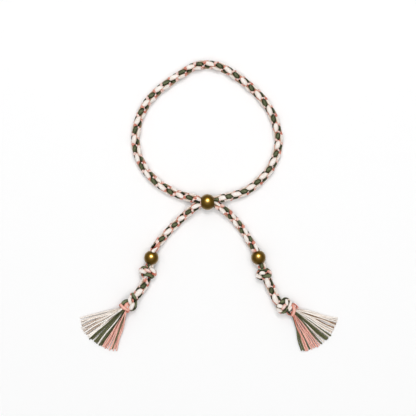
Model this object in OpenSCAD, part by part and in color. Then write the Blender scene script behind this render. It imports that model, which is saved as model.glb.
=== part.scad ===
// Braided bracelet, lying flat as it does on a table: one braided cord whose two ends pass
// both ways through a sliding bead, each with a bead, two overhand knots and a tassel.
// X to the right, Y away from the tassels, Z up. The table is at Z = 0.

/* [Braid] */
// Width of the braid of the loop, over the strands that lie on top
braid_w = 3.9; // [3.8:0.05:4]
// Width of the braid of the tails, which is drawn tighter
tail_braid_w = 3.6; // [3.5:0.05:3.7]
// Depth of the hollows between those strands
hollow = 0.4; // [0.2:0.05:0.5]
// Length of one crest of a strand, along the braid
crest_l = 3.74; // [3.6:0.02:3.9]
// Width of the braid where a knot squeezes it
knotted_w = 1.86; // [1.7:0.02:1.9]

/* [Beads] */
// Diameter of the sliding bead
slide_bead_w = 6.5; // [6.4:0.05:6.6]
// Bore of the sliding bead, shared by both runs of the cord
slide_bore_w = 3.4; // [3.3:0.05:3.5]
// Diameter of each tail bead
tail_bead_w = 6; // [5.9:0.05:6.1]
// Bore of each tail bead
tail_bore_w = 2.6; // [2.5:0.05:2.8]
// Depth of the chamfer at the mouths of the bores
chamfer = 0.2; // [0.1:0.05:0.3]

/* [Tassels] */
// Width of the bundle of threads inside the whipping
neck_w = 2.8; // [2.6:0.1:3]
// Width of the thread that is whipped round the bundle
whip_thread_w = 0.6; // [0.5:0.05:0.65]
// Locks of thread in each tassel
locks = 12; // [9:13]
// Thickness of a lock where it lies on the table
lock_t = 0.8; // [0.6:0.1:1]

/* [Hidden] */
cream = "#e9e0d6";
green = "#5b6b4c";
pink = "#e3988a";
brass = "#8a6a2c";

// Space between pieces that meet or run through each other
gap = 0.1;
braid_r = braid_w / 2;
tail_braid_r = tail_braid_w / 2;
knotted_r = knotted_w / 2;
braid_sides = 8;
rings_per_crest = 4;
knot_ring_step = 0.55;
curve_steps = 8;

// Routes of the middle of the cord, their points chosen by eye. Columns: x, y, and the lift
// above the height at which the braid lies on the table.
loop_route = [
    [-6, 3, 0.6], [-12, 4.5, 0.1], [-17.5, 7, 0], [-22.5, 10.5, 0], [-26.4, 15, 0],
    [-29.3, 20.6, 0], [-30.4, 27, 0], [-29.7, 33, 0], [-27.8, 38.6, 0], [-24.7, 43.7, 0],
    [-20.7, 47.7, 0], [-16.2, 51.2, 0], [-11.6, 54.2, 0], [-6.6, 57.2, 0], [-1, 58.2, 0],
    [4.6, 57.2, 0], [10.1, 54.2, 0], [14.7, 50.8, 0], [18.7, 47.3, 0], [22.1, 43.6, 0],
    [25.5, 38.5, 0], [27.5, 33, 0], [28.5, 27, 0], [27.5, 21, 0], [24.8, 15.1, 0],
    [20.9, 10.6, 0], [15.9, 6.6, 0], [11, 4.6, 0.1], [4.5, 3, 0.6]];

// The two tails, left first
left = 0;
right = 1;
tail_route = [
    [[-6, -0.5, 1.6], [-8.8, -2.7, 1], [-12.7, -6.3, 0.2], [-16.2, -9.8, 0.1],
        [-19.7, -13.7, 0.2]],
    [[4.5, -0.5, 1.6], [7.4, -2.6, 1], [10.6, -5.9, 0.2], [13.6, -9.6, 0.1],
        [16.1, -13.5, 0.2]]];
tail_end_route = [[[-27.6, -33.6, 0.3]], [[25.8, -34.6, 0.3]]];
// Places on the tails. Columns: x, y, and the heading of the cord there from +X.
slide_place = [-0.7, 1.6, 0];
tail_bead_place = [[-23.8, -21.3, 255], [20.2, -21.2, -69]];
stopper_place = [[-25.3, -27.6, 257], [22.9, -28, -68]];
end_place = [[-31.8, -39.1, 230], [30.5, -40.7, -36]];
// How each knot is tied: 1 has a single band on top, and -1 a pair of bands.
stopper_tie = [-1, -1];
end_tie = [1, -1];
// Fans of the tassels, in three columns: at the first edge, in the middle, at the last edge
fan_heading = [[191, 222, 258], [-9, -43, -77]];
fan_length = [[17.5, 17.8, 16.2], [18, 17.5, 15.8]];

// An overhand knot drawn tight, up to its middle. Columns: along the cord, up and across. The
// second half is the first one turned half round the upright axis.
half_knot = [
    [-3.4, 0, 0], [-2.2, 0, 0], [-1.1, -0.4, 0.4], [-0.3, -1.3, 1.1], [0.8, -2.4, 0.8],
    [1.9, -2.5, -0.5], [2.3, -1.4, -1.8], [2, 0.2, -2.3], [1.1, 1.5, -1.6], [0, 1.9, 0]];
knot_reach = 3.4;
// Straight lead of the stretches that meet a knot
knot_lead = 0.5;
// Depth of the knot's middle line below its centre, for a tie of 1 and of -1
knot_depth = [2.6, 1.95];
// The cord sinks this much as it leaves an end knot, and the neck of the tassel goes on there
neck_drop = 0.4;
whip_at = 4.3;
whip_turns = 3;
neck_end = 5.8;

// Locks of a tassel: where they start, the half width and half height of one at its root, and
// how much wider it gets up to its tip
lock_start = 5.4;
lock_root = [0.4, 1];
lock_widens = 0.5;
// Width at the neck over which the locks start
lock_spread = neck_w - 1.2;
// Share of the fan up to which the locks are cream, and then green; the rest are pink
cream_share = 0.36;
green_share = 0.7;

// Vectors and lists
function unit(v) = v / norm(v);
function aim(heading) = [cos(heading), sin(heading), 0];
function reversed(p) = [for (k = [len(p) - 1 : -1 : 0]) p[k]];
function lifted(route, r) = [for (p = route) [p[0], p[1], r + p[2]]];
// The point at a height, d further along the heading of a place and s to its right
function by(place, height, d = 0, s = 0) =
    [place[0], place[1], height] + d * aim(place[2]) + s * aim(place[2] - 90);

// Smooth curve through the points p, at u counted in points from the first
function curve_at(p, u) = let (
        k = min(floor(u), len(p) - 2),
        t = u - k,
        b = p[k],
        c = p[k + 1],
        a = k > 0 ? p[k - 1] : 2 * b - c,
        d = k < len(p) - 2 ? p[k + 2] : 2 * c - b)
    (2 * b + (c - a) * t + (2 * a - 5 * b + 4 * c - d) * t * t
        + (3 * b - 3 * c + d - a) * t * t * t) / 2;
function curve(p) = [for (k = [0 : curve_steps * (len(p) - 1)]) curve_at(p, k / curve_steps)];
// Distance along the points p up to each of them
function run(p) = [
    for (k = 0, s = 0; k < len(p); k = k + 1, s = k < len(p) ? s + norm(p[k] - p[k - 1]) : s) s];
function curve_length(p) = let (s = run(curve(p))) s[len(s) - 1];
// The curve through the points p, cut into n equal steps
function spaced(p, n) = let (
        c = curve(p),
        s = run(c),
        table = [for (axis = [0 : 2]) [for (k = [0 : len(c) - 1]) [s[k], c[k][axis]]]])
    [for (k = [0 : n]) [for (axis = [0 : 2]) lookup(s[len(s) - 1] * k / n, table[axis])]];

// Frames along the points p: the direction, and an upright that turns no more than it must.
// The directions of the first and the last point are given in ends.
function ways(p, ends) = [for (k = [0 : len(p) - 1])
    k == 0 ? ends[0] : k == len(p) - 1 ? ends[1] : unit(p[k + 1] - p[k - 1])];
function squared(u, t) = unit(u - (u * t) * t);
function uprights(t) = [
    for (k = 0, u = squared([0, 0, 1], t[0]); k < len(t);
        k = k + 1, u = k < len(t) ? squared(u, t[k]) : u) u];

// Tube along the points p. wide and high are lists of its half width and half height at each
// ring. Crests and hollows alternate round it and along it, and differ by the share dip.
module tube(p, ends, wide, high, sides = braid_sides, dip = 0) {
    last = len(p) - 1;
    t = ways(p, ends);
    u = uprights(t);
    rings = [for (k = [0 : last], j = [0 : sides - 1])
        let (
            a = 360 * j / sides,
            crest = 1 - dip * (1 - cos(360 * k / rings_per_crest) * cos(180 * j)) / 2,
            v = cross(t[k], u[k]))
        p[k] + crest * (wide[k] * cos(a) * v + high[k] * sin(a) * u[k])];
    walls = [for (k = [0 : last - 1], j = [0 : sides - 1])
        let (a = k * sides + j, b = k * sides + (j + 1) % sides, c = a + sides, d = b + sides)
        each (j + k) % 2 == 0 ? [[a, b, d], [a, d, c]] : [[a, b, c], [b, d, c]]];
    caps = [[for (j = [sides - 1 : -1 : 0]) j], [for (j = [0 : sides - 1]) last * sides + j]];
    polyhedron(rings, concat(walls, caps));
}

// The points p with both ends drawn in, which leaves the gap between two stretches
function drawn_in(p, ends) = let (last = len(p) - 1)
    [for (k = [0 : last])
        p[k] + gap / 2 * (k == 0 ? ends[0] : k == last ? -ends[1] : [0, 0, 0])];

// A stretch of braid of radius full, pinched at both ends. Columns of a pinch: the radius
// there, how far the braid stays so, and how much its radius grows for each mm after that.
function swelled(d, pinch, full) = min(full, pinch[0] + pinch[2] * max(0, d - pinch[1]));
module braid(route, full, ends, first_pinch, last_pinch) {
    total = curve_length(route);
    n = rings_per_crest * round(total / crest_l);
    r = [for (k = [0 : n])
        min(swelled(total * k / n, first_pinch, full),
            swelled(total * (1 - k / n), last_pinch, full))];
    tube(drawn_in(spaced(route, n), ends), ends, r, r, dip = hollow / full);
}

// A bead along the heading of its place, with a straight bore and chamfered mouths
function bead_reach(width, bore) = sqrt(pow(width / 2, 2) - pow(bore / 2, 2));
module bead(place, width, bore) {
    color(brass)
        translate(by(place, width / 2))
            rotate([0, 90, place[2]])
                difference() {
                    sphere(d = width, $fn = 96);
                    cylinder(h = 2 * width, d = bore, center = true, $fn = 64);
                    for (end = [0, 1])
                        mirror([0, 0, end])
                            translate([0, 0, bead_reach(width, bore) - chamfer])
                                cylinder(h = width, d1 = bore, d2 = bore + 2 * width, $fn = 64);
                }
}
module slide_bead() {
    bead(slide_place, slide_bead_w, slide_bore_w);
}
module tail_bead(tail) {
    bead(tail_bead_place[tail], tail_bead_w, tail_bore_w);
}

// Half of one run of the cord through the sliding bead, from its middle to a mouth. The two
// runs pass each other in a half turn. x_end, y_end and z_middle are the sides it lies on.
// It starts straight, so that the next stretch meets it face to face.
slide_reach = bead_reach(slide_bead_w, slide_bore_w);
slide_run_r = slide_bore_w / 4 - gap;
mouth_lead = 0.6;
slide_pinch = [slide_run_r, slide_reach + mouth_lead, 0.3];
// Angles of that turn at which the points are set. Up to 0 the run is straight.
half_turn = [-20, 0, 20, 45, 70, 90];
function bead_run(x_end, y_end, z_middle) = [for (a = half_turn)
    let (
        turn = max(0, a),
        off = slide_run_r + gap / 2,
        share = (a - half_turn[0]) / (90 - half_turn[0]))
    by(slide_place, slide_bead_w / 2 + z_middle * off * cos(turn),
        x_end * slide_reach * share, -y_end * off * sin(turn))];

module loop_braid() {
    back = -aim(slide_place[2]);
    color(cream)
        braid(
            concat(bead_run(-1, 1, 1), lifted(loop_route, braid_r),
                reversed(bead_run(1, 1, -1))),
            braid_r, [back, back], slide_pinch, slide_pinch);
}

// The first stretch of a tail, from the middle of the sliding bead to the stopper knot
tail_run_r = tail_bore_w / 2 - 2 * gap;
// Places of the route's points inside the bead, counted from its middle
in_bead_at = [-3.2, -1, 1.2];
module tail_braid(tail) {
    place = tail_bead_place[tail];
    x_end = tail == left ? -1 : 1;
    in_bead = [for (d = in_bead_at) by(place, tail_bead_w / 2, d)];
    at_knot = [for (d = [knot_lead, 0])
        by(stopper_place[tail], knot_height(stopper_tie[tail]), -knot_reach - d)];
    bead_to_end = norm(at_knot[1] - by(place, tail_bead_w / 2));
    pinched = bead_to_end + bead_reach(tail_bead_w, tail_bore_w) + mouth_lead;
    color(cream)
        braid(
            concat(bead_run(x_end, -1, x_end), lifted(tail_route[tail], tail_braid_r),
                in_bead, at_knot),
            tail_braid_r, [x_end * aim(slide_place[2]), aim(stopper_place[tail][2])],
            slide_pinch, [tail_run_r, pinched, 1.2]);
}

// Knots
function knot_height(tie) = knotted_r + knot_depth[tie > 0 ? 0 : 1];
function whole_knot() = concat(half_knot,
    [for (k = [len(half_knot) - 2 : -1 : 0])
        [-half_knot[k][0], half_knot[k][1], -half_knot[k][2]]]);
function knot_points(place, tie) =
    [for (q = whole_knot()) by(place, knot_height(tie) + tie * q[1], q[0], q[2])];
module knot(points, heading) {
    n = round(curve_length(points) / knot_ring_step);
    r = [for (k = [0 : n]) knotted_r];
    ends = [aim(heading), aim(heading)];
    color(cream)
        tube(drawn_in(spaced(points, n), ends), ends, r, r);
}
module stopper_knot(tail) {
    place = stopper_place[tail];
    knot(knot_points(place, stopper_tie[tail]), place[2]);
}
module end_knot(tail) {
    place = end_place[tail];
    points = knot_points(place, end_tie[tail]);
    last = len(points) - 1;
    knot([for (k = [0 : last]) points[k] - [0, 0, k > last - 2 ? neck_drop : 0]], place[2]);
}

// The stretch between the two knots of a tail
knot_pinch = [knotted_r, 0.2, 1];
module tail_end(tail) {
    start = [for (d = [0, knot_lead])
        by(stopper_place[tail], knot_height(stopper_tie[tail]), knot_reach + d)];
    finish = [for (d = [knot_lead, 0])
        by(end_place[tail], knot_height(end_tie[tail]), -knot_reach - d)];
    color(cream)
        braid(
            concat(start, lifted(tail_end_route[tail], tail_braid_r), finish), tail_braid_r,
            [aim(stopper_place[tail][2]), aim(end_place[tail][2])], knot_pinch, knot_pinch);
}

// Whipping: turns of thread side by side round the neck of a tassel
function neck_height(tail) = knot_height(end_tie[tail]) - neck_drop;
module whipping(tail) {
    color(pink)
        translate(by(end_place[tail], neck_height(tail), whip_at))
            rotate([0, 90, end_place[tail][2]])
                rotate_extrude($fn = 48)
                    for (k = [0 : whip_turns - 1])
                        translate([neck_w / 2 + gap, (k - whip_turns / 2) * whip_thread_w])
                            square([whip_thread_w, whip_thread_w]);
}

// Tassel: the threads of the cord, loose past the whipping, in locks that fan out and sink to
// the table. A third of the locks has each colour.
module tassel(tail) {
    place = end_place[tail];
    height = neck_height(tail);
    color(cream)
        translate(by(place, height, knot_reach + gap))
            rotate([0, 90, place[2]])
                cylinder(h = neck_end - knot_reach - gap, d = neck_w, $fn = 24);
    for (k = [0 : locks - 1]) {
        share = k / (locks - 1);
        heading = curve_at(fan_heading[tail], 2 * share);
        reach = curve_at(fan_length[tail], 2 * share);
        across = (tail == left ? 1 : -1) * (0.5 - share) * lock_spread;
        color(share < cream_share ? cream : share < green_share ? green : pink)
            lock(by(place, height, lock_start, across), heading, reach);
    }
}
module lock(root, heading, reach) {
    steps = [0 : 0.2 : 1];
    points = [for (s = steps)
        root + s * reach * aim(heading)
            - [0, 0, (root[2] - lock_t / 2) * sin(90 * min(1, 1.3 * s))]];
    wide = [for (s = steps) lock_root[0] + lock_widens * s];
    high = [for (s = steps) max(lock_t / 2, lock_root[1] - 2 * s)];
    tube(points, [aim(heading), aim(heading)], wide, high);
}

loop_braid();
slide_bead();
tail_braid(left);  // tail_braid_left
tail_bead(left);  // tail_bead_left
stopper_knot(left);  // stopper_knot_left
tail_end(left);  // tail_end_left
end_knot(left);  // end_knot_left
whipping(left);  // whipping_left
tassel(left);  // tassel_left
tail_braid(right);  // tail_braid_right
tail_bead(right);  // tail_bead_right
stopper_knot(right);  // stopper_knot_right
tail_end(right);  // tail_end_right
end_knot(right);  // end_knot_right
whipping(right);  // whipping_right
tassel(right);  // tassel_right
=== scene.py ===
# Braided bracelet lying flat on a pale table: the ten strands of its braid, the knots, the
# whippings and the threads of both tassels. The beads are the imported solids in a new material.
# Working lengths here are in millimetres, and every mesh is written in metres.
import math

import bmesh
import bpy
import numpy as np
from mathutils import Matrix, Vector


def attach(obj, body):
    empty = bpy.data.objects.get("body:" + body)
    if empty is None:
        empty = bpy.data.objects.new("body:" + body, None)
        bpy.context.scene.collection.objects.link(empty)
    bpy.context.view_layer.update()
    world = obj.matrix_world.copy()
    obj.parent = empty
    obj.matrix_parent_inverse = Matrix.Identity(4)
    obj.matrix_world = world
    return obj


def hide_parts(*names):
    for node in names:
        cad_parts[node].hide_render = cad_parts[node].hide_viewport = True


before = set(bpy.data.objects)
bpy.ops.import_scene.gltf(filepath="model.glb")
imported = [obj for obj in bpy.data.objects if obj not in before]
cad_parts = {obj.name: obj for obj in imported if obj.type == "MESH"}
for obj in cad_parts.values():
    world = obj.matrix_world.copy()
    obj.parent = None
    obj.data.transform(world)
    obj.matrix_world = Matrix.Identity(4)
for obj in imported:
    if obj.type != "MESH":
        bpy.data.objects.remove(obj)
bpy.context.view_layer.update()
scene = bpy.context.scene
MM = 0.001
LEFT, RIGHT = 0, 1

# Camera, as the photo was taken
# The photo looks straight down, and one of its pixels is 0.411 mm on the bracelet.
PIXEL = 0.411
PHOTO_SIDE = 416
# Where the photo shows the spot x = 0, y = 0 of the bracelet's frame, in its pixels
ORIGIN_PIXEL = (209.25, 205.95)
CAMERA_HEIGHT = 620
SENSOR_WIDTH = 36
# Height on the bracelet at which the scale of the photo holds
SHARP_Z = 2.5
look_at = ((PHOTO_SIDE / 2 - ORIGIN_PIXEL[0]) * PIXEL,
           (ORIGIN_PIXEL[1] - PHOTO_SIDE / 2) * PIXEL, SHARP_Z)
camera_data = bpy.data.cameras.new("camera")
camera_data.type = "PERSP"
camera_data.sensor_width = SENSOR_WIDTH
camera_data.lens = SENSOR_WIDTH * CAMERA_HEIGHT / (PHOTO_SIDE * PIXEL)
camera_data.clip_start = 0.01
camera_data.dof.use_dof = False
camera = bpy.data.objects.new("camera", camera_data)
camera.location = (look_at[0] * MM, look_at[1] * MM, (look_at[2] + CAMERA_HEIGHT) * MM)
scene.collection.objects.link(camera)
scene.camera = camera

# Route of the cord
# These are the points of the part's source: x, y, and the lift above lying on the table.
LOOP_BRAID_R, TAIL_BRAID_R = 1.95, 1.8
GAP = 0.1
SLIDE_BEAD_W, SLIDE_BORE_W = 6.5, 3.4
TAIL_BEAD_W = 6.0
LOOP_ROUTE = [
    (-6, 3, 0.6), (-12, 4.5, 0.1), (-17.5, 7, 0), (-22.5, 10.5, 0), (-26.4, 15, 0),
    (-29.3, 20.6, 0), (-30.4, 27, 0), (-29.7, 33, 0), (-27.8, 38.6, 0), (-24.7, 43.7, 0),
    (-20.7, 47.7, 0), (-16.2, 51.2, 0), (-11.6, 54.2, 0), (-6.6, 57.2, 0), (-1, 58.2, 0),
    (4.6, 57.2, 0), (10.1, 54.2, 0), (14.7, 50.8, 0), (18.7, 47.3, 0), (22.1, 43.6, 0),
    (25.5, 38.5, 0), (27.5, 33, 0), (28.5, 27, 0), (27.5, 21, 0), (24.8, 15.1, 0),
    (20.9, 10.6, 0), (15.9, 6.6, 0), (11, 4.6, 0.1), (4.5, 3, 0.6)]
TAIL_ROUTE = [
    [(-6, -0.5, 1.6), (-8.8, -2.7, 1), (-12.7, -6.3, 0.2), (-16.2, -9.8, 0.1),
     (-19.7, -13.7, 0.2)],
    [(4.5, -0.5, 1.6), (7.4, -2.6, 1), (10.6, -5.9, 0.2), (13.6, -9.6, 0.1),
     (16.1, -13.5, 0.2)]]
TAIL_END_ROUTE = [[(-27.6, -33.6, 0.3)], [(25.8, -34.6, 0.3)]]
SLIDE_PLACE = (-0.7, 1.6, 0)
TAIL_BEAD_PLACE = [(-23.8, -21.3, 255), (20.2, -21.2, -69)]
STOPPER_PLACE = [(-25.3, -27.6, 257), (22.9, -28, -68)]
END_PLACE = [(-31.8, -39.1, 230), (30.5, -40.7, -36)]
NECK_Z = [3.13, 2.48]
KNOT_Z = 2.8
# Along each heading: the cord in a tail bead, before and after a knot, and in the neck
BEAD_SPOTS = (-3.2, -1, 1.2)
KNOT_REACH = 3.4
NECK_SPOTS = (2.8, 4.6)
# Angles along half a run through the sliding bead, from its middle. Up to 0 the two runs lie one
# over the other, and at 90, at the mouth, side by side.
RUN_ANGLES = (-20, 0, 20, 45, 70, 90)


def by(place, height, along=0, right=0):
    """The point at a height, so far along a place's heading and so far to its right."""
    turn = math.radians(place[2])
    return (place[0] + along * math.cos(turn) + right * math.sin(turn),
            place[1] + along * math.sin(turn) - right * math.cos(turn), height)


def lifted(route, radius):
    return [(x, y, radius + lift) for x, y, lift in route]


def bead_run(x_end, y_end, z_middle):
    """Half of one run of the cord through the sliding bead, where two runs pass each other."""
    reach = math.sqrt((SLIDE_BEAD_W / 2) ** 2 - (SLIDE_BORE_W / 2) ** 2)
    off = SLIDE_BORE_W / 4 - GAP / 2
    first, last = RUN_ANGLES[0], RUN_ANGLES[-1]
    points = []
    for angle in RUN_ANGLES:
        turn = math.radians(max(0, angle))
        points.append(by(SLIDE_PLACE, SLIDE_BEAD_W / 2 + z_middle * off * math.cos(turn),
                         x_end * reach * (angle - first) / (last - first),
                         -y_end * off * math.sin(turn)))
    return points


class Route:
    """A smooth curve through points, with a frame along it that turns no more than it must."""
    STEP = 0.1
    PARTS = 24

    def __init__(self, points):
        p = np.array(points, float)
        p = np.vstack([2 * p[0] - p[1], p, 2 * p[-1] - p[-2]])
        t = np.linspace(0, 1, self.PARTS, endpoint=False)[:, None]
        a, b, c, d = (p[k:len(p) - 3 + k, None, :] for k in range(4))
        fine = (2 * b + (c - a) * t + (2 * a - 5 * b + 4 * c - d) * t ** 2
                + (3 * b - 3 * c + d - a) * t ** 3) / 2
        fine = np.vstack([fine.reshape(-1, 3), p[-2]])
        run = np.concatenate([[0], np.cumsum(np.linalg.norm(np.diff(fine, axis=0), axis=1))])
        self.length = run[-1]
        self.s = np.linspace(0, self.length, int(self.length / self.STEP) + 1)
        self.at = np.stack([np.interp(self.s, run, fine[:, k]) for k in range(3)], 1)
        self.ahead = np.gradient(self.at, axis=0)
        self.ahead /= np.linalg.norm(self.ahead, axis=1)[:, None]
        self.up = np.empty_like(self.at)
        up = np.array((0.0, 0.0, 1.0))
        for k, way in enumerate(self.ahead):
            up = up - (up @ way) * way
            up /= np.linalg.norm(up)
            self.up[k] = up

    def look(self, s):
        """Middle, direction and upright at the distances s, also past both ends."""
        found = [np.stack([np.interp(s, self.s, rows[:, k]) for k in range(3)], -1)
                 for rows in (self.at, self.ahead, self.up)]
        beyond = np.minimum(s, 0) + np.maximum(s - self.length, 0)
        found[0] += beyond[..., None] * found[1]
        return found

    def near(self, point):
        """Distance along the route of the spot that is nearest to a point."""
        return self.s[np.argmin(np.linalg.norm(self.at - np.array(point, float), axis=1))]

    def upright_turn(self, s):
        """How far the frame's upright has turned from the true one at s, in degrees."""
        _, way, up = self.look(np.array(s))
        true = np.array((0, 0, 1.0)) - way[2] * way
        true /= np.linalg.norm(true)
        right = np.cross(way, up)
        return math.degrees(math.atan2(true @ right, true @ up))


def tail_points(tail):
    """The cord of a tail. It runs straight through its knots, which are laid over it."""
    end, x_end = END_PLACE[tail], (-1 if tail == LEFT else 1)
    return (bead_run(x_end, -1, x_end) + lifted(TAIL_ROUTE[tail], TAIL_BRAID_R)
            + [by(TAIL_BEAD_PLACE[tail], TAIL_BEAD_W / 2, d) for d in BEAD_SPOTS]
            + [by(STOPPER_PLACE[tail], KNOT_Z, d) for d in (-KNOT_REACH, 0, KNOT_REACH)]
            + lifted(TAIL_END_ROUTE[tail], TAIL_BRAID_R)
            + [by(end, KNOT_Z, d) for d in (-KNOT_REACH, 0)]
            + [by(end, NECK_Z[tail], d) for d in NECK_SPOTS])


loop_route = Route(bead_run(-1, 1, 1) + lifted(LOOP_ROUTE, LOOP_BRAID_R)
                   + bead_run(1, 1, -1)[::-1])
tail_routes = [Route(tail_points(tail)) for tail in (LEFT, RIGHT)]

# Materials
# Colours are linear. A thread has three: its painted highlight on the crest, its own colour on
# its body, and painted shade deep between its neighbours.
CREAM = ((0.96, 0.91, 0.87), (0.82, 0.72, 0.64), (0.38, 0.25, 0.155))
GREEN = ((0.135, 0.152, 0.078), (0.033, 0.039, 0.014), (0.001, 0.0015, 0.0003))
# The knots' green: a lighter copy of GREEN, painted light
KNOT_GREEN_LIT = ((0.180, 0.200, 0.105), (0.068, 0.078, 0.033), (0.003, 0.004, 0.001))
PINK = ((0.74, 0.35, 0.27), (0.50, 0.130, 0.080), (0.24, 0.030, 0.013))
BLUSH = ((0.91, 0.74, 0.68), (0.68, 0.33, 0.255), (0.32, 0.065, 0.032))
CREAM_YARN = ((0.98, 0.93, 0.87), (0.82, 0.71, 0.61), (0.27, 0.14, 0.060))
GREEN_YARN = ((0.148, 0.150, 0.070), (0.052, 0.053, 0.020), (0.003, 0.002, 0.001))
PINK_YARN = ((0.93, 0.54, 0.45), (0.68, 0.215, 0.150), (0.24, 0.035, 0.015))


def link(tree, source, target):
    tree.links.new(source, target)


def math_node(tree, operation, first, second=None, clamp=False):
    node = tree.nodes.new("ShaderNodeMath")
    node.operation = operation
    node.use_clamp = clamp
    for k, value in enumerate((first, second)):
        if value is None:
            continue
        if isinstance(value, (int, float)):
            node.inputs[k].default_value = value
        else:
            link(tree, value, node.inputs[k])
    return node.outputs[0]


def mix_colour(tree, share, first, second, blend="MIX"):
    node = tree.nodes.new("ShaderNodeMix")
    node.data_type = "RGBA"
    node.blend_type = blend
    for socket, value in ((node.inputs["Factor"], share), (node.inputs[6], first),
                          (node.inputs[7], second)):
        if isinstance(value, bpy.types.NodeSocket):
            link(tree, value, socket)
        elif isinstance(value, tuple):
            socket.default_value = (*value, 1)
        else:
            socket.default_value = value
    return node.outputs[2]


def new_group(name, inputs, outputs):
    group = bpy.data.node_groups.new(name, "ShaderNodeTree")
    for label, kind, value in inputs:
        socket = group.interface.new_socket(label, in_out="INPUT", socket_type=kind)
        socket.default_value = (*value, 1) if isinstance(value, tuple) else value
    for label, kind in outputs:
        group.interface.new_socket(label, in_out="OUTPUT", socket_type=kind)
    return group, group.nodes.new("NodeGroupInput"), group.nodes.new("NodeGroupOutput")


def smooth_node(tree, value, low, high):
    node = tree.nodes.new("ShaderNodeMapRange")
    node.interpolation_type = "SMOOTHSTEP"
    for label, limit in (("From Min", low), ("From Max", high)):
        node.inputs[label].default_value = limit
    link(tree, value, node.inputs["Value"])
    return node.outputs["Result"]


# Spread of tone from thread to thread, shade in the furrow between two threads, and roughness in
# a furrow and how much less of it there is on a crown
TONE_SPREAD, FURROW_SHADE = 0.2, 0.14
FURROW_ROUGHNESS, CROWN_POLISH = 0.62, 0.14
# How fast the noise of the fibres changes along and across a thread, its middle value, and its
# part in the height
FIBRE_ALONG, FIBRE_ACROSS = 1.6, 2.6
FIBRE_MIDDLE, FIBRE_HEIGHT = 0.55, 0.5
# How far a spot has to be lit to leave the deep colour, its painted shade, and to reach the
# crest's, its painted highlight
BODY_FROM, BODY_TO = 0.05, 0.6
LIGHT_FROM, LIGHT_TO = 0.55, 1.05


def build_thread_bundle():
    """Threads lying side by side in a strand: their colour, their height and their gloss. The
    strand has painted highlight where it crosses over the others and painted shade where it dives
    under them."""
    FLOAT, COLOUR = "NodeSocketFloat", "NodeSocketColor"
    group, given, made = new_group("thread_bundle", [
        ("Light", COLOUR, CREAM[0]), ("Body", COLOUR, CREAM[1]), ("Deep", COLOUR, CREAM[2]),
        ("Edge", FLOAT, 0.5), ("Threads", FLOAT, 11.0), ("Twist", FLOAT, 0.2),
        ("Fibre", FLOAT, 0.5)], [("Color", COLOUR), ("Height", FLOAT), ("Roughness", FLOAT)])
    uv = group.nodes.new("ShaderNodeUVMap")
    uv.uv_map = "along_and_round"
    split = group.nodes.new("ShaderNodeSeparateXYZ")
    link(group, uv.outputs[0], split.inputs[0])
    along, round_ = split.outputs[0], split.outputs[1]
    crest = group.nodes.new("ShaderNodeAttribute")
    crest.attribute_name = "crest"
    # the threads wind slowly round the strand
    across = math_node(group, "ADD", math_node(group, "MULTIPLY", round_, given.outputs["Threads"]),
                       math_node(group, "MULTIPLY", along, given.outputs["Twist"]))
    number = math_node(group, "FLOOR", across)
    middle = math_node(group, "SUBTRACT", math_node(
        group, "MULTIPLY", math_node(group, "FRACT", across), 2.0), 1.0)
    crown = math_node(group, "SUBTRACT", 1.0, math_node(group, "MULTIPLY", middle, middle))
    # every thread has a tone of its own
    tone = group.nodes.new("ShaderNodeTexWhiteNoise")
    tone.noise_dimensions = "1D"
    link(group, number, tone.inputs["W"])
    # fine fibres along the thread
    place = group.nodes.new("ShaderNodeCombineXYZ")
    link(group, math_node(group, "MULTIPLY", along, FIBRE_ALONG), place.inputs[0])
    link(group, math_node(group, "MULTIPLY", across, FIBRE_ACROSS), place.inputs[1])
    fibre = group.nodes.new("ShaderNodeTexNoise")
    fibre.inputs["Scale"].default_value = 2.2
    fibre.inputs["Detail"].default_value = 3.0
    fibre.inputs["Roughness"].default_value = 0.6
    link(group, place.outputs[0], fibre.inputs["Vector"])
    # 1 on the outer face of the strand and 0 on its edges, which painted shade darkens
    face = math_node(group, "SINE", math_node(group, "MULTIPLY", round_, 2 * math.pi))
    edge_shade = math_node(group, "MULTIPLY", math_node(group, "SUBTRACT", 1.0, face),
                     given.outputs["Edge"])
    # painted highlight on the crests and painted shade in the dives and on the edges
    lit = math_node(group, "SUBTRACT", crest.outputs["Fac"], edge_shade)
    lit = math_node(group, "ADD", lit, math_node(group, "MULTIPLY", math_node(
        group, "SUBTRACT", tone.outputs["Value"], 0.5), TONE_SPREAD))
    lit = math_node(group, "ADD", lit, math_node(group, "MULTIPLY", math_node(
        group, "SUBTRACT", fibre.outputs["Fac"], FIBRE_MIDDLE), given.outputs["Fibre"]))
    lit = math_node(group, "SUBTRACT", lit, math_node(group, "MULTIPLY", math_node(
        group, "SUBTRACT", 1.0, crown), FURROW_SHADE))
    shade = mix_colour(group, smooth_node(group, lit, BODY_FROM, BODY_TO),
                       given.outputs["Deep"], given.outputs["Body"])
    shade = mix_colour(group, smooth_node(group, lit, LIGHT_FROM, LIGHT_TO),
                       shade, given.outputs["Light"])
    link(group, shade, made.inputs["Color"])
    link(group, math_node(group, "ADD", crown, math_node(
        group, "MULTIPLY", fibre.outputs["Fac"], FIBRE_HEIGHT)), made.inputs["Height"])
    link(group, math_node(group, "SUBTRACT", FURROW_ROUGHNESS, math_node(
        group, "MULTIPLY", crown, CROWN_POLISH)), made.inputs["Roughness"])
    return group


thread_bundle = build_thread_bundle()


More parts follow.
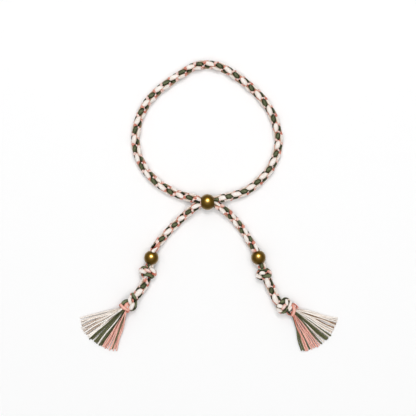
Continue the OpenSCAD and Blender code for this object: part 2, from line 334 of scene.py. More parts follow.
def thread_material(name, colours, edge_shade=0.36, threads=11.0, twist=0.2, fibre=0.35,
                    relief=0.00005, sheen=0.15):
    """Cotton of one colour, with painted highlight and painted shade. edge is how much painted
    shade darkens the edges of a strand, threads how many lie round it, twist how fast they wind,
    and relief their height in metres."""
    material = bpy.data.materials.new(name)
    material.use_nodes = True
    tree = material.node_tree
    shader = tree.nodes["Principled BSDF"]
    bundle = tree.nodes.new("ShaderNodeGroup")
    bundle.node_tree = thread_bundle
    for label, value in (("Light", (*colours[0], 1)), ("Body", (*colours[1], 1)),
                         ("Deep", (*colours[2], 1)), ("Edge", edge_shade), ("Threads", threads),
                         ("Twist", twist), ("Fibre", fibre)):
        bundle.inputs[label].default_value = value
    bump = tree.nodes.new("ShaderNodeBump")
    bump.inputs["Strength"].default_value = 0.7
    bump.inputs["Distance"].default_value = relief
    link(tree, bundle.outputs["Height"], bump.inputs["Height"])
    link(tree, bump.outputs[0], shader.inputs["Normal"])
    link(tree, bundle.outputs["Color"], shader.inputs["Base Color"])
    link(tree, bundle.outputs["Roughness"], shader.inputs["Roughness"])
    shader.inputs["Specular IOR Level"].default_value = 0.06
    shader.inputs["Sheen Weight"].default_value = sheen
    shader.inputs["Sheen Roughness"].default_value = 0.45
    material.diffuse_color = (*colours[1], 1)
    return material


FINISH = {"green": thread_material("green_strand", GREEN, edge_shade=1.0, sheen=0.04),
          "cream": thread_material("cream_strand", CREAM, edge_shade=0.45),
          "pink": thread_material("pink_strand", PINK, threads=7),
          "blush": thread_material("blush_strand", BLUSH, threads=8),
          "whip": thread_material("whipping_thread", PINK_YARN, threads=5)}
# In the knots the green is pulled flat, and so it catches more light. This is painted light: the
# knots get a lighter copy of the green, with less painted shade on its edges.
KNOT_LIT_FINISH = dict(FINISH, green=thread_material("green_knot_strand_lit", KNOT_GREEN_LIT, edge_shade=0.5,
                                                 sheen=0.04))


# Meshes of strands and threads
# Points of a mesh that are closer than this, in metres, are one.
SAME_SPOT = 1e-7


def shell(name, strands, material, nodes):
    """One piece from strands. Each gives its rings of points, and for each ring the distance
    along the strand and how far it rises to a crest, which sets its painted highlight and shade. A
    grid is wrapped round each strand, and its two ends are closed."""
    mesh = bpy.data.meshes.new(name)
    whole = bmesh.new()
    layer = whole.loops.layers.uv.new("along_and_round")
    crest_layer = whole.verts.layers.float.new("crest")
    for rings, distance, crest in strands:
        count, round_ = rings.shape[:2]
        made = bmesh.ops.create_grid(whole, x_segments=count - 1, y_segments=round_,
                                     size=1)["verts"]
        grid_x = np.array([v.co.x for v in made])
        grid_y = np.array([v.co.y for v in made])
        i = np.rint((grid_x + 1) / 2 * (count - 1)).astype(int)
        j = np.rint((grid_y + 1) / 2 * round_).astype(int)
        place = rings[i, j % round_] * MM
        for vert, spot, a, b in zip(made, place, i, j):
            vert.co = spot
            vert[crest_layer] = crest[a]
            for loop in vert.link_loops:
                loop[layer].uv = (distance[a], b / round_)
        bmesh.ops.remove_doubles(whole, verts=made, dist=SAME_SPOT)
    edges = [e for e in whole.edges if e.is_boundary]
    bmesh.ops.holes_fill(whole, edges=edges, sides=0)
    bmesh.ops.recalc_face_normals(whole, faces=whole.faces)
    for face in whole.faces:
        face.smooth = True
    whole.to_mesh(mesh)
    whole.free()
    mesh.materials.append(material)
    piece = bpy.data.objects.new(name, mesh)
    scene.collection.objects.link(piece)
    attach(piece, "root")
    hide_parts(*nodes)
    return piece


# The braid
# Four thick strands wind to the right and puff out on their crests. Six thin ones wind to the
# left and bind them. Each strand passes over and under those of the other set in turn.
# From crest to crest along one column of the braid, and a row, which is half of that
CREST = 3.86
ROW = CREST / 2
# Radius of the loop's cord over its crests
CORD_R = 1.88
# Points round a strand
ROUND = 16
# Colour, half width and half thickness of the strands of each set
THICK = [("green", 2.1, 0.74), ("cream", 2.2, 0.74)] * 2
THIN = [("pink", 0.54, 0.38), ("blush", 0.50, 0.38)] * 3
# Rows from one crest of a strand to its next, and degrees that it turns in a row
THICK_REPEAT, THICK_TURN = 1.6, 45
THIN_REPEAT, THIN_TURN = 2.4, -30
# Rows by which each strand of a set is ahead of the one before it, and degrees between them.
# The thin set as a whole is THIN_START rows ahead and turned by THIN_OFF.
THICK_AHEAD, THICK_APART = 2, 90
THIN_AHEAD, THIN_APART = 0.4, 60
THIN_START, THIN_OFF = 1.3, -3
# A thick strand goes over its crest more across the braid than along it. Half way down it is so
# many millimetres short of an even course, and so many degrees past it.
LINGER, SWING = 0.4, 14
# Lean of a strand's flat section, in degrees from square to the cord. On a crest a thick strand
# leans CREST_LEAN further.
THICK_LEAN, CREST_LEAN = -76, -26
THIN_LEAN = 24
# How far a strand sinks in a dive and which share of its width it loses there, each with the
# power that shapes it. Thin strands lie THIN_LOW lower from the start.
THICK_SINK, SINK_POWER = 0.40, 2.6
THICK_NARROW, NARROW_POWER = 0.60, 1.5
THIN_SINK, THIN_POWER = 1.0, 0.75
THIN_LOW, THIN_NARROW = 0.22, 0.1
# What the sides of the braid show: green strands are narrower and lower, thin ones wider and
# higher. On its right, the inside of the loop, the cream ones lie over the green.
SIDE_GREEN_NARROW, SIDE_GREEN_SINK, SIDE_POWER = 0.65, 0.2, 4
SIDE_THIN_WIDE, SIDE_THIN_RISE = 2.0, 0.27
INSIDE_GREEN_NARROW, INSIDE_CREAM_RISE = 0.5, 0.10
# No two crests are quite alike in width and in turn: by how much, and how fast that changes from
# row to row and from strand to strand
UNEVEN_WIDTH, WIDTH_BY_ROW, WIDTH_BY_STRAND = 0.09, 1.3, 2.4
UNEVEN_TURN, TURN_BY_ROW, TURN_BY_STRAND = 0.05, 0.9, 1.7
# This power makes the oval section of a strand fuller towards its edges
SECTION_POWER = 0.7
# The smallest radius round which a strand's width is bent
LEAST_BEND = 0.5


def section(colour, half_wide, dive, aside):
    """Height of a strand's top over the cord's middle line, and its half width. dive grows to 1
    in a dive, and aside is the sine of its angle from the top, above 0 on the right."""
    beside, inside = aside ** 2, np.maximum(aside, 0) ** 2
    if colour in ("pink", "blush"):
        top = CORD_R - THIN_LOW - THIN_SINK * dive ** THIN_POWER + SIDE_THIN_RISE * beside
        return top, half_wide * (1 - THIN_NARROW * dive) * (1 + SIDE_THIN_WIDE * beside)
    top = CORD_R - THICK_SINK * dive ** SINK_POWER
    wide = half_wide * (1 - THICK_NARROW * dive ** NARROW_POWER)
    if colour == "cream":
        return top + INSIDE_CREAM_RISE * inside, wide
    side = beside ** SIDE_POWER
    wide = wide * (1 - SIDE_GREEN_NARROW * side) * (1 - INSIDE_GREEN_NARROW * inside)
    return top - SIDE_GREEN_SINK * side, wide


def braid_strands(route, anchors, radius, spacing=0.3):
    """The strands along a route. anchors gives, at distances along it, the row of the pattern
    and the turn of its top column to the right. radius gives the cord's radius at s."""
    s = np.linspace(0, route.length, int(route.length / spacing) + 1)
    at, rows, turns = (np.array(column, float) for column in zip(*anchors))
    row = np.interp(s, at, rows)
    row += np.minimum(s - at[0], 0) / ROW + np.maximum(s - at[-1], 0) / ROW
    turn = np.interp(s, at, turns)
    upright = np.interp(s, at, [route.upright_turn(spot) for spot in at])
    size = radius(s) / CORD_R
    phi = np.linspace(0, 2 * np.pi, ROUND, endpoint=False)
    found = {"green": [], "cream": [], "pink": [], "blush": []}
    for thick, strands in ((True, THICK), (False, THIN)):
        for number, (colour, half_wide, half_high) in enumerate(strands):
            if thick:
                phase = 2 * np.pi * (row + THICK_AHEAD * number) / THICK_REPEAT
                right_turn = THICK_TURN * row + SWING * np.sin(phase) + THICK_APART * number
                middle_s = s - LINGER * np.sin(phase)
                lean = THICK_LEAN + CREST_LEAN * (0.5 + 0.5 * np.cos(phase))
            else:
                phase = 2 * np.pi * (row + THIN_AHEAD * number + THIN_START) / THIN_REPEAT
                right_turn = THIN_TURN * row + THIN_APART * number + THIN_OFF
                middle_s = s
                lean = THIN_LEAN + 0 * s
            over = np.cos(phase)
            aside = np.sin(np.radians(right_turn + turn - upright))
            top, wide = section(colour, half_wide, (1 - over) / 2, aside)
            wide = wide * (1 + UNEVEN_WIDTH * np.sin(
                WIDTH_BY_ROW * row + WIDTH_BY_STRAND * number))
            theta = np.radians(90 - turn - right_turn) \
                + UNEVEN_TURN * np.sin(TURN_BY_ROW * row + TURN_BY_STRAND * number)
            middle = top - half_high
            lean = np.radians(lean)[:, None]
            x = wide[:, None] * np.cos(phi) * size[:, None]
            y = (half_high * np.sign(np.sin(phi))
                 * np.abs(np.sin(phi)) ** SECTION_POWER) * size[:, None]
            r = middle[:, None] * size[:, None]
            angle = theta[:, None] + x * np.cos(lean) / np.maximum(r, LEAST_BEND)
            place, ahead, up = route.look(middle_s[:, None] - x * np.sin(lean))
            right = np.cross(ahead, up)
            rings = place + (r + y)[..., None] * (
                np.cos(angle)[..., None] * right + np.sin(angle)[..., None] * up)
            # how far the strand is over the others sets its painted highlight and painted shade
            found[colour].append((rings, s, 0.5 + 0.5 * over))
    return found


def smooth(x):
    x = np.clip(x, 0, 1)
    return x * x * (3 - 2 * x)


# Radius of the cord in the middle of the sliding bead, how fast and from where it grows, and how
# much it swells on its way out, from where and over which length
RUN_R, GROWTH, GROWS_FROM = 1.0, 0.12, 1.5
SWELL, SWELL_FROM, SWELL_LENGTH = 0.6, 2.6, 3.5


def radius_from_bead(from_bead, full):
    """Radius of the cord at a distance from the middle of the sliding bead, up to its full one."""
    return np.minimum(full, RUN_R + GROWTH * np.maximum(0, from_bead - GROWS_FROM)
                      + SWELL * smooth((from_bead - SWELL_FROM) / SWELL_LENGTH))


def loop_radius(s):
    return radius_from_bead(np.minimum(s, loop_route.length - s), CORD_R)


def anchors_of(route, marks):
    """Anchors from marks: a distance, the row there, and the turn of the top column from the
    true upright. The turns between two marks take the short way."""
    found = []
    for s, row, turn in marks:
        turn = turn + route.upright_turn(s)
        if found:
            turn += 360 * round((found[-1][2] - turn) / 360)
        found.append((s, row, turn))
    return found


# Where a green crest lies on top of the loop, and how far it is turned to the inside
LOOP_GREENS = [
    (7.8, 2), (16.3, -12), (24.0, -18), (31.8, -24), (39.4, -25), (47.1, -15), (54.9, -12),
    (62.8, -18), (70.6, -22), (78.4, -24), (86.4, -17), (94.7, -9), (102.4, -4), (110.6, 8),
    (118.8, 14), (126.4, 14), (133.9, 13), (141.3, 14), (148.4, 11), (155.5, 11), (162.3, 8),
    (169.1, 2), (174.2, 0)]
# Rows from one green crest on top to the next
GREEN_ROWS = 4
loop_anchors = anchors_of(loop_route, [
    (s, GREEN_ROWS * (k + 1), turn) for k, (s, turn) in enumerate(LOOP_GREENS)])
loop_strands = braid_strands(loop_route, loop_anchors, loop_radius)
for colour, strands in loop_strands.items():
    shell("loop_" + colour + "_strands", strands, FINISH[colour], ["loop_braid"])

# Radius of a tail's cord over its crests
TAIL_R = 1.77
# Radius in the tail's bead and knots, how far to each side of their middles it stays so, and over
# which length it widens again
TIGHT_R, EASING = 1.22, 0.7
BEAD_TIGHT, STOPPER_TIGHT, END_TIGHT = 2.5, 1.3, 1.7
# Between its two knots the braid is pushed together, and so a little thicker
PUSHED = 0.2
# How much thinner the cord is at its tassel, from how far off, and over which length
NECK_THIN, NECK_FROM, NECK_LENGTH = 0.4, 4, 3


def tail_radius(tail):
    """Radius of a tail's cord, narrow in its beads, in its knots and at its tassel's neck."""
    route = tail_routes[tail]
    bead_s = route.near(by(TAIL_BEAD_PLACE[tail], TAIL_BEAD_W / 2))
    stopper_s = route.near(by(STOPPER_PLACE[tail], KNOT_Z))
    end_s = route.near(by(END_PLACE[tail], KNOT_Z))

    def radius(s):
        r = radius_from_bead(s, TAIL_R) + PUSHED * ((s > stopper_s) & (s < end_s))
        for middle, reach in ((bead_s, BEAD_TIGHT), (stopper_s, STOPPER_TIGHT),
                              (end_s, END_TIGHT)):
            eased = smooth((np.abs(s - middle) - reach) / EASING)
            r = np.minimum(r, TIGHT_R + (TAIL_R + PUSHED - TIGHT_R) * eased)
        return r - NECK_THIN * smooth((s - route.length + NECK_FROM) / NECK_LENGTH)
    return radius


# Green crests on top of each tail down to its bead, with their turn to the right of its run
TAIL_GREENS = [[(9.1, 4), (17.1, 4), (24.9, 2)], [(3.4, 30), (11.5, 36), (19.4, 38), (27.3, 40)]]
# Then the crests below the tail bead and between the knots: where each lies, and its turn. The
# rows between the knots start one crest, two rows, before theirs.
BELOW_BEAD_GREEN = [((-24.6, -24.3, 2.8), 0), ((21.5, -24.6, 2.8), 0)]
TAIL_END_GREEN = [((-27.3, -32.3, 2.3), 0), ((25.4, -34.7, 2.3), 12)]
TAIL_NODES = [["tail_braid_left", "tail_end_left"], ["tail_braid_right", "tail_end_right"]]
for tail, side in ((LEFT, "left"), (RIGHT, "right")):
    route = tail_routes[tail]
    marks = [(s, GREEN_ROWS * (k + 1), turn) for k, (s, turn) in enumerate(TAIL_GREENS[tail])]
    spot, turn = BELOW_BEAD_GREEN[tail]
    marks.append((route.near(spot), marks[-1][1] + GREEN_ROWS, turn))
    spot, turn = TAIL_END_GREEN[tail]
    s = route.near(spot)
    marks += [(s - CREST, marks[-1][1] + 2 * GREEN_ROWS - 2, turn),
              (s, marks[-1][1] + 2 * GREEN_ROWS, turn)]
    strands_of = braid_strands(route, anchors_of(route, marks), tail_radius(tail))
    for colour, strands in strands_of.items():
        shell(f"tail_{side}_{colour}_strands", strands, FINISH[colour],
              TAIL_NODES[tail])

# Knots and whippings
# Each is a rounded body of crossing bands, with its middle, its reach along, across and up, and
# the turn of its first side. A core in green, darkened by painted shade, fills it where the bands
# leave hollows. A band gives its colour, its half width and its middle line as seen from above;
# a line that goes past the outline runs on underneath.
WRAPS = [
    {"name": "stopper_left", "node": "stopper_knot_left", "middle": (-25.2, -27.2, 2.9),
     "reach": (2.5, 3.4, 2.35), "turn": 252, "core": True, "bands": [
        ("green", 0.69, [(-27.9, -25.2), (-26.5, -25.2), (-25.3, -24.9), (-24.4, -25.2)]),
        ("cream", 0.91, [(-29.0, -26.6), (-27.4, -26.7), (-25.7, -27.5)]),
        ("blush", 0.69, [(-26.7, -25.8), (-25.3, -26.4), (-23.8, -27.1)]),
        ("cream", 0.94, [(-24.4, -25.4), (-23.1, -26.3), (-22.0, -27.7)]),
        ("cream", 0.56, [(-25.3, -24.4), (-24.2, -24.9), (-23.1, -25.5)]),
        ("pink", 0.38, [(-23.7, -24.8), (-23.0, -25.0), (-22.3, -25.5)]),
        ("green", 0.80, [(-27.0, -28.4), (-24.8, -28.1), (-22.8, -29.2)]),
        ("green", 0.47, [(-29.2, -27.0), (-28.3, -28.0), (-27.0, -28.6)]),
        ("pink", 0.67, [(-23.5, -27.4), (-22.5, -27.9), (-21.4, -28.6)]),
        ("pink", 0.40, [(-26.3, -23.9), (-27.8, -25.3), (-28.8, -26.7)]),
        ("cream", 0.51, [(-24.4, -30.0), (-23.0, -29.5), (-21.3, -28.6)]),
        ("pink", 0.33, [(-24.9, -29.3), (-23.9, -30.0), (-22.8, -30.1)]),
        ("cream", 0.47, [(-22.4, -25.8), (-21.6, -26.7), (-21.2, -27.8)])]},
    {"name": "stopper_right", "node": "stopper_knot_right", "middle": (22.4, -28.0, 2.9),
     "reach": (2.3, 3.1, 2.35), "turn": -80, "core": True, "bands": [
        ("green", 0.67, [(19.9, -27.7), (20.1, -26.5), (21.8, -26.1), (23.2, -26.2),
                         (24.4, -26.7)]),
        ("cream", 0.76, [(20.4, -27.9), (21.7, -27.4), (23.0, -27.7)]),
        ("cream", 0.82, [(19.2, -28.2), (20.4, -28.9), (21.7, -29.4)]),
        ("blush", 0.82, [(23.7, -26.3), (24.8, -27.1), (25.8, -28.2)]),
        ("green", 0.91, [(21.6, -28.9), (23.5, -28.6), (25.4, -28.5)]),
        ("pink", 0.42, [(19.2, -26.7), (19.1, -27.9), (19.6, -29.2)]),
        ("pink", 0.38, [(21.2, -29.3), (21.9, -29.7), (22.8, -30.2)]),
        ("green", 0.38, [(19.8, -29.6), (20.8, -30.2), (21.8, -30.3)]),
        ("pink", 0.33, [(23.7, -25.6), (24.6, -26.0), (25.3, -26.7)]),
        ("pink", 0.33, [(25.1, -29.4), (25.7, -28.6), (25.7, -27.7)]),
        ("pink", 0.24, [(22.9, -27.5), (23.3, -27.4), (23.8, -27.2)])]},
    {"name": "end_knot_left", "node": "end_knot_left", "middle": (-31.6, -39.4, 2.9),
     "reach": (3.6, 2.2, 2.3), "turn": 262, "core": True, "bands": [
        ("green", 0.71, [(-31.6, -35.5), (-30.8, -37.0), (-29.7, -38.7)]),
        ("green", 0.69, [(-29.9, -38.8), (-30.1, -40.1), (-30.5, -41.9)]),
        ("green", 0.38, [(-29.6, -41.2), (-30.6, -42.3), (-32.4, -43.2)]),
        ("cream", 0.80, [(-32.2, -36.5), (-32.6, -38.4), (-32.1, -40.6)]),
        ("cream", 0.93, [(-30.8, -39.5), (-31.7, -41.1), (-32.6, -42.6)]),
        ("pink", 0.40, [(-31.2, -35.1), (-31.9, -35.8), (-32.3, -36.9)]),
        ("pink", 0.40, [(-31.6, -38.0), (-31.3, -38.8), (-31.3, -39.6)]),
        ("pink", 0.31, [(-33.1, -40.1), (-32.8, -41.1), (-33.1, -42.1)])]},
    {"name": "neck_left", "node": "end_knot_left", "middle": (-34.2, -40.2, 2.8),
     "reach": (2.2, 1.7, 1.7), "turn": 235, "core": True, "bands": [
        ("green", 0.89, [(-36.1, -40.5), (-34.7, -39.3), (-33.2, -38.5)]),
        ("cream", 0.70, [(-32.4, -42.4), (-33.4, -41.8), (-34.6, -42.0)])]},
    {"name": "end_knot_right", "node": "end_knot_right", "middle": (30.7, -41.0, 2.9),
     "reach": (3.4, 2.9, 2.3), "turn": 45, "core": True, "bands": [
        ("green", 0.87, [(28.9, -39.6), (29.8, -39.3), (31.0, -38.7)]),
        ("green", 0.44, [(29.7, -38.7), (30.8, -37.9), (32.0, -37.9), (33.1, -38.6)]),
        ("cream", 0.69, [(31.6, -38.2), (31.7, -39.4), (31.9, -40.8)]),
        ("cream", 0.67, [(33.5, -38.5), (33.3, -40.1), (32.3, -42.3)]),
        ("cream", 0.84, [(27.8, -40.8), (29.0, -41.0), (30.2, -41.3)]),
        ("cream", 0.91, [(27.6, -42.4), (28.7, -42.8), (30.0, -43.1)]),
        ("blush", 0.73, [(31.6, -40.1), (30.6, -41.2), (29.7, -42.6)]),
        ("green", 0.84, [(29.5, -43.9), (30.6, -43.4), (31.7, -42.8)]),
        ("green", 0.36, [(31.9, -41.0), (31.6, -42.1), (31.3, -43.2)]),
        ("pink", 0.40, [(28.5, -43.6), (29.4, -43.9), (30.2, -44.1)]),
        ("green", 0.31, [(28.2, -39.6), (27.8, -40.8), (28.0, -42.1)])]},
    {"name": "neck_right", "node": "end_knot_right", "middle": (33.1, -42.4, 2.6),
     "reach": (1.7, 2.0, 1.7), "turn": -36, "core": True, "bands": [
        ("cream", 0.56, [(33.9, -40.9), (33.2, -42.1), (32.3, -43.2)]),
        ("green", 0.40, [(32.4, -43.6), (33.1, -44.2), (33.7, -44.7)]),
        ("green", 0.29, [(32.2, -41.8), (32.4, -42.5), (32.6, -43.3)])]},
    {"name": "whipping_left", "node": "whipping_left", "middle": (-34.6, -41.6, 3.1),
     "reach": (3.0, 2.3, 1.8), "turn": 230, "core": False, "bands": [
        ("whip", 0.69, [(-33.2, -39.3), (-34.1, -40.8), (-34.9, -42.2)]),
        ("whip", 0.67, [(-37.8, -41.3), (-36.5, -40.6), (-35.3, -41.6), (-33.9, -42.4),
                        (-32.6, -43.0)]),
        ("whip", 0.44, [(-32.6, -41.0), (-33.1, -42.0), (-33.8, -43.3)])]},
    {"name": "whipping_right", "node": "whipping_right", "middle": (34.2, -42.7, 2.5),
     "reach": (2.6, 2.5, 1.8), "turn": -36, "core": False, "bands": [
        ("whip", 0.73, [(33.5, -40.0), (34.5, -41.1), (34.8, -42.6), (34.4, -44.2),
                        (33.6, -45.7)]),
        ("whip", 0.40, [(33.6, -40.4), (34.7, -40.2), (35.7, -40.8), (36.2, -41.5)]),
        ("blush", 0.38, [(35.4, -41.9), (36.2, -42.1), (37.2, -42.4)])]}]


# A line past the outline folds back under, but no nearer to the middle than this share of it
LEAST_FOLD = 0.2
# Of a band: its least number of rings, the length between two, and how full it is along its line
BAND_RINGS, BAND_STEP, BAND_POWER = 12, 0.2, 0.7
# Its half height on its own and by its half width
BAND_HIGH, HIGH_BY_WIDTH = 0.16, 0.34
# Its width, its depth and its light at both ends, where painted shade darkens it, as shares of a
# half width, a half height and 1
END_WIDTH, END_DIVE, END_LIGHT = 0.62, 0.75, 0.35
# How much higher the next band lies, three in turn
BAND_LIFT, LIFTS = 0.04, 3
# Of a core: its size as a share of the wrap's, its light, low for painted shade, its rings, and
# how far towards its tips they reach
CORE_SHARE, CORE_LIGHT, CORE_RINGS, CORE_REACH = 0.88, 0.3, 12, 0.97


def on_wrap(wrap, xy, under):
    """Points of a wrap's rounded body over plan points, and the ways its surface faces there."""
    middle, reach, turn = np.array(wrap["middle"]), np.array(wrap["reach"]), wrap["turn"]
    ahead = np.array((math.cos(math.radians(turn)), math.sin(math.radians(turn))))
    left = np.array((-ahead[1], ahead[0]))
    flat = np.stack([(xy - middle[:2]) @ ahead / reach[0], (xy - middle[:2]) @ left / reach[1]], 1)
    far = np.linalg.norm(flat, axis=1)
    folded = np.where(far > 1, np.maximum(2 - far, LEAST_FOLD), far)
    flat *= (folded / np.maximum(far, 1e-6))[:, None]
    up = np.sqrt(np.maximum(1 - folded ** 2, 0)) * np.where(far > 1, -1, 1)
    if under:
        flat[:, 1] *= -1
        up = -up
    local = np.stack([flat[:, 0], flat[:, 1], up], 1)
    frame_of = np.array([(*ahead, 0), (*left, 0), (0, 0, 1)])
    facing = (local / reach) @ frame_of
    facing /= np.linalg.norm(facing, axis=1)[:, None]
    return middle + (local * reach) @ frame_of, facing


def band(wrap, half_wide, line, under, lift):
    """One band over a wrap, flat, and dived under its neighbours at both ends, where painted
    shade darkens it.
    """
    route = Route([(x, y, 0) for x, y in line])
    s = np.linspace(0, route.length, max(BAND_RINGS, int(route.length / BAND_STEP)))
    place, facing = on_wrap(wrap, route.look(s)[0][:, :2], under)
    run = np.concatenate([[0], np.cumsum(np.linalg.norm(np.diff(place, axis=0), axis=1))])
    ahead = np.gradient(place, axis=0)
    ahead /= np.linalg.norm(ahead, axis=1)[:, None]
    beside = np.cross(ahead, facing)
    beside /= np.linalg.norm(beside, axis=1)[:, None]
    rise = np.maximum(np.sin(np.pi * run / run[-1]), 0) ** BAND_POWER
    half_high = BAND_HIGH + HIGH_BY_WIDTH * half_wide
    wide = half_wide * (END_WIDTH + (1 - END_WIDTH) * rise)
    phi = np.linspace(0, 2 * np.pi, ROUND, endpoint=False)
    rings = (place + facing * (lift - END_DIVE * half_high * (1 - rise))[:, None])[:, None] \
        + (wide[:, None] * np.cos(phi))[..., None] * beside[:, None] \
        + (half_high * np.sin(phi))[None, :, None] * facing[:, None]
    return rings, run, END_LIGHT + (1 - END_LIGHT) * rise


def core(wrap):
    """The inside of a wrap, seen in the hollows between its bands, dark with painted shade."""
    turn = math.radians(wrap["turn"])
    ahead = np.array((math.cos(turn), math.sin(turn), 0))
    left = np.array((-ahead[1], ahead[0], 0))
    a = np.linspace(-CORE_REACH, CORE_REACH, CORE_RINGS) * np.pi / 2
    phi = np.linspace(0, 2 * np.pi, ROUND, endpoint=False)
    long, wide, high = (CORE_SHARE * r for r in wrap["reach"])
    rings = np.array(wrap["middle"]) + (long * np.sin(a))[:, None, None] * ahead \
        + (wide * np.cos(a)[:, None] * np.cos(phi))[..., None] * left \
        + (high * np.cos(a)[:, None] * np.sin(phi))[..., None] * np.array((0, 0, 1.0))
    return rings, a, CORE_LIGHT + 0 * a


for wrap in WRAPS:
    found = {colour: [] for colour in FINISH}
    for under in (False, True):
        for number, (colour, half_wide, line) in enumerate(wrap["bands"]):
            lift = BAND_LIFT * (number % LIFTS)
            found[colour].append(band(wrap, half_wide, line, under, lift))
    if wrap["core"]:
        found["green"].append(core(wrap))
    for colour, bands in found.items():
        if bands:
            shell(f"{wrap['name']}_{colour}_bands", bands, KNOT_LIT_FINISH[colour],
                  [wrap["node"]])

# Beads of antique brass
# Colours of the brass from where it faces the eye to its rim: a painted reflection
BRASS_PAINTED_REFLECTION = [(0.0, (0.27, 0.155, 0.036)), (0.035, (0.26, 0.15, 0.030)),
             (0.12, (0.19, 0.10, 0.004)), (0.36, (0.110, 0.060, 0.002)),
             (0.5, (0.16, 0.09, 0.008)), (0.62, (0.23, 0.14, 0.022)),
             (0.8, (0.35, 0.24, 0.080))]
# Stains: their colour, the value of the noise where they start, how fast they grow darker, and
# their share in the colour
STAIN_COLOUR = (0.06, 0.036, 0.008)
STAIN_FROM, STAIN_GAIN, STAIN_SHARE = 0.42, 2.2, 0.45
# Roughness of clean brass, and how much a stain adds
BRASS_ROUGHNESS, STAIN_ROUGHNESS = 0.34, 0.10


def brass_material():
    material = bpy.data.materials.new("antique_brass")
    material.use_nodes = True
    tree = material.node_tree
    shader = tree.nodes["Principled BSDF"]
    place = tree.nodes.new("ShaderNodeTexCoord")
    stain = tree.nodes.new("ShaderNodeTexNoise")
    stain.inputs["Scale"].default_value = 420
    stain.inputs["Detail"].default_value = 4
    link(tree, place.outputs["Object"], stain.inputs["Vector"])
    pits = tree.nodes.new("ShaderNodeTexNoise")
    pits.inputs["Scale"].default_value = 2600
    pits.inputs["Detail"].default_value = 2
    link(tree, place.outputs["Object"], pits.inputs["Vector"])
    dark = math_node(tree, "MULTIPLY", math_node(
        tree, "SUBTRACT", stain.outputs["Fac"], STAIN_FROM), STAIN_GAIN, clamp=True)
    # painted reflection: bright where it faces the eye, dark round that, lighter again on the rim
    facing = tree.nodes.new("ShaderNodeLayerWeight")
    facing.inputs["Blend"].default_value = 0.5
    painted_reflection = tree.nodes.new("ShaderNodeValToRGB")
    painted_reflection.color_ramp.interpolation = "EASE"
    for k, (share, colour) in enumerate(BRASS_PAINTED_REFLECTION):
        stop = painted_reflection.color_ramp.elements[0] if k == 0 else painted_reflection.color_ramp.elements.new(share)
        stop.position = share
        stop.color = (*colour, 1)
    # the ramp's own last stop, white
    painted_reflection.color_ramp.elements.remove(painted_reflection.color_ramp.elements[-1])
    link(tree, facing.outputs["Facing"], painted_reflection.inputs[0])
    link(tree, mix_colour(tree, math_node(tree, "MULTIPLY", dark, STAIN_SHARE), painted_reflection.outputs[0],
                          STAIN_COLOUR), shader.inputs["Base Color"])
    link(tree, math_node(tree, "ADD", BRASS_ROUGHNESS, math_node(
        tree, "MULTIPLY", dark, STAIN_ROUGHNESS)), shader.inputs["Roughness"])
    bump = tree.nodes.new("ShaderNodeBump")
    bump.inputs["Strength"].default_value = 0.25
    bump.inputs["Distance"].default_value = 0.00002
    link(tree, pits.outputs["Fac"], bump.inputs["Height"])
    link(tree, bump.outputs[0], shader.inputs["Normal"])
    shader.inputs["Metallic"].default_value = 1.0
    shader.inputs["Coat Weight"].default_value = 0.25
    shader.inputs["Coat Roughness"].default_value = 0.28
    return material


antique_brass = brass_material()
for node in ("slide_bead", "tail_bead_left", "tail_bead_right"):
    bead_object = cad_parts[node]
    bead_object.data.materials.clear()
    bead_object.data.materials.append(antique_brass)

# Threads of the tassels
YARN = {colour: thread_material(colour + "_yarn", tones, edge_shade=edge_shade, threads=3, twist=0.8,
                                fibre=0.3, relief=0.00002)
        for colour, tones, edge_shade in (("green", GREEN_YARN, 1.0), ("cream", CREAM_YARN, 0.5),
                                    ("pink", PINK_YARN, 0.95))}
YARN_R = 0.29
# The cut end of a thread: its length, its radius and how that swells, and its extra rings
CUT_LENGTH, CUT_R, CUT_SWELL = 0.45, 0.55, 0.6
CUT_RINGS = (0.05, 0.15, 0.25)
# Light of a thread at the neck, low there for painted shade, how much it gains, and over which
# length
ROOT_LIGHT, GAIN, GAIN_LENGTH = 0.75, 0.25, 9


def yarn(points, tone, spacing=0.4, round_=8):
    """One thread along a curve, a little swollen at its cut end, with painted shade near the neck.
    """
    route = Route(points)
    s = np.linspace(0, route.length, int(route.length / spacing) + 1)
    s = np.sort(np.append(s, route.length - np.array(CUT_RINGS)))
    place, ahead, up = route.look(s)
    right = np.cross(ahead, up)
    phi = np.linspace(0, 2 * np.pi, round_, endpoint=False)[None]
    end = np.clip((route.length - s) / CUT_LENGTH, 0, 1)[:, None]
    r = YARN_R * np.where(end < 1, CUT_R + CUT_SWELL * np.sqrt(end), 1.0)
    rings = place[:, None] + (r * np.cos(phi))[..., None] * right[:, None] \
        + (r * np.sin(phi))[..., None] * up[:, None]
    return rings, s, ROOT_LIGHT + tone + GAIN * smooth(s / GAIN_LENGTH)


